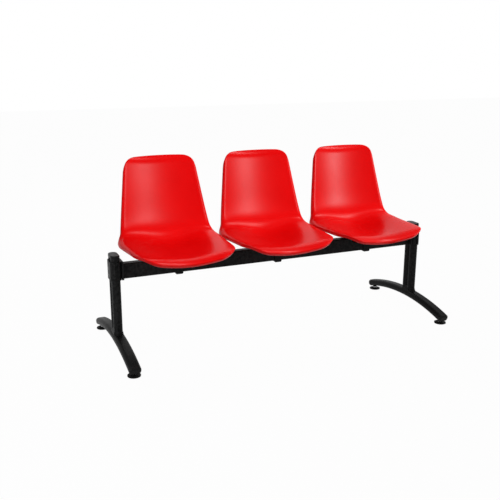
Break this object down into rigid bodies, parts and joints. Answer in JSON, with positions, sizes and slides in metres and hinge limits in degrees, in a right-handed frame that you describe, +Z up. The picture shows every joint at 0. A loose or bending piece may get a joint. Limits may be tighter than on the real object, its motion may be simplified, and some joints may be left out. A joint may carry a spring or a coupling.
{
  "type": "waiting bench",
  "caption": "Waiting bench: moulded plastic bucket shells bolted to a rectangular steel beam between T-legs of paired round tubes on arched bases with levelling feet.",
  "frame": {"origin": "on the floor, midway between the feet along and across the bench", "axes": "+Z up, X along the beam, a sitter faces -Y"},
  "size_m": [1.646, 0.6628, 0.8501],
  "materials": {
    "seat_red": "satin moulded polypropylene",
    "frame_black": "satin black powder coat",
    "cap_black": "moulded, satin",
    "pad_black": "moulded, matt",
    "bolt_black": "blackened steel",
    "zinc_steel": "zinc plated"
  },
  "bodies": {
    "bench": {"arch_cap_left_front": "cap_black", "arch_cap_left_rear": "cap_black", "arch_cap_right_front": "cap_black", "arch_cap_right_rear": "cap_black", "base_arch_left": "frame_black", "base_arch_right": "frame_black", "beam": "frame_black", "beam_end_plate_left": "frame_black", "beam_end_plate_right": "frame_black", "clamp_bolts_left": "bolt_black", "clamp_bolts_right": "bolt_black", "clamp_nuts_left": "zinc_steel", "clamp_nuts_right": "zinc_steel", "column_cap_left": "cap_black", "column_cap_right": "cap_black", "column_clamp_inner_left": "frame_black", "column_clamp_inner_right": "frame_black", "column_clamp_outer_left": "frame_black", "column_clamp_outer_right": "frame_black", "column_saddle_left": "frame_black", "column_saddle_right": "frame_black", "column_tube_left_front": "frame_black", "column_tube_left_rear": "frame_black", "column_tube_right_front": "frame_black", "column_tube_right_rear": "frame_black", "foot_boss_left_front": "frame_black", "foot_boss_left_rear": "frame_black", "foot_boss_right_front": "frame_black", "foot_boss_right_rear": "frame_black", "seat_screws_left": "zinc_steel", "seat_screws_middle": "zinc_steel", "seat_screws_right": "zinc_steel", "seat_shell_left": "seat_red", "seat_shell_middle": "seat_red", "seat_shell_right": "seat_red", "seat_strap_left": "frame_black", "seat_strap_middle": "frame_black", "seat_strap_right": "frame_black", "seat_support_left": "frame_black", "seat_support_middle": "frame_black", "seat_support_right": "frame_black", "strap_bolts_left": "zinc_steel", "strap_bolts_middle": "zinc_steel", "strap_bolts_right": "zinc_steel", "strap_nuts_left": "zinc_steel", "strap_nuts_middle": "zinc_steel", "strap_nuts_right": "zinc_steel"},
    "foot_left_front": {"foot_pad_left_front": "pad_black"},
    "stem_left_front": {"foot_stem_left_front": "zinc_steel"},
    "foot_left_rear": {"foot_pad_left_rear": "pad_black"},
    "stem_left_rear": {"foot_stem_left_rear": "zinc_steel"},
    "foot_right_front": {"foot_pad_right_front": "pad_black"},
    "stem_right_front": {"foot_stem_right_front": "zinc_steel"},
    "foot_right_rear": {"foot_pad_right_rear": "pad_black"},
    "stem_right_rear": {"foot_stem_right_rear": "zinc_steel"}
  },
  "joints": [
    {"name": "foot_lift_left_front", "type": "slide", "parent": "bench", "child": "foot_left_front", "axis": [0, 0, 1], "range_m": [-0.012, 0.0009]},
    {"name": "stem_turn_left_front", "type": "hinge", "parent": "foot_left_front", "child": "stem_left_front", "pos_m": [-0.794, -0.3, 0.02], "axis": [0, 0, 1], "range_deg": [-2900, 236]},
    {"name": "foot_lift_left_rear", "type": "slide", "parent": "bench", "child": "foot_left_rear", "axis": [0, 0, 1], "range_m": [-0.012, 0.0009]},
    {"name": "stem_turn_left_rear", "type": "hinge", "parent": "foot_left_rear", "child": "stem_left_rear", "pos_m": [-0.794, 0.3, 0.02], "axis": [0, 0, 1], "range_deg": [-2900, 236]},
    {"name": "foot_lift_right_front", "type": "slide", "parent": "bench", "child": "foot_right_front", "axis": [0, 0, 1], "range_m": [-0.012, 0.0009]},
    {"name": "stem_turn_right_front", "type": "hinge", "parent": "foot_right_front", "child": "stem_right_front", "pos_m": [0.794, -0.3, 0.02], "axis": [0, 0, 1], "range_deg": [-2900, 236]},
    {"name": "foot_lift_right_rear", "type": "slide", "parent": "bench", "child": "foot_right_rear", "axis": [0, 0, 1], "range_m": [-0.012, 0.0009]},
    {"name": "stem_turn_right_rear", "type": "hinge", "parent": "foot_right_rear", "child": "stem_right_rear", "pos_m": [0.794, 0.3, 0.02], "axis": [0, 0, 1], "range_deg": [-2900, 236]}
  ],
  "couplings": [
    {"joint": "stem_turn_left_front", "follows": "foot_lift_left_front", "rad_per_m": 4188.8},
    {"joint": "stem_turn_left_rear", "follows": "foot_lift_left_rear", "rad_per_m": 4188.8},
    {"joint": "stem_turn_right_front", "follows": "foot_lift_right_front", "rad_per_m": 4188.8},
    {"joint": "stem_turn_right_rear", "follows": "foot_lift_right_rear", "rad_per_m": 4188.8}
  ]
}
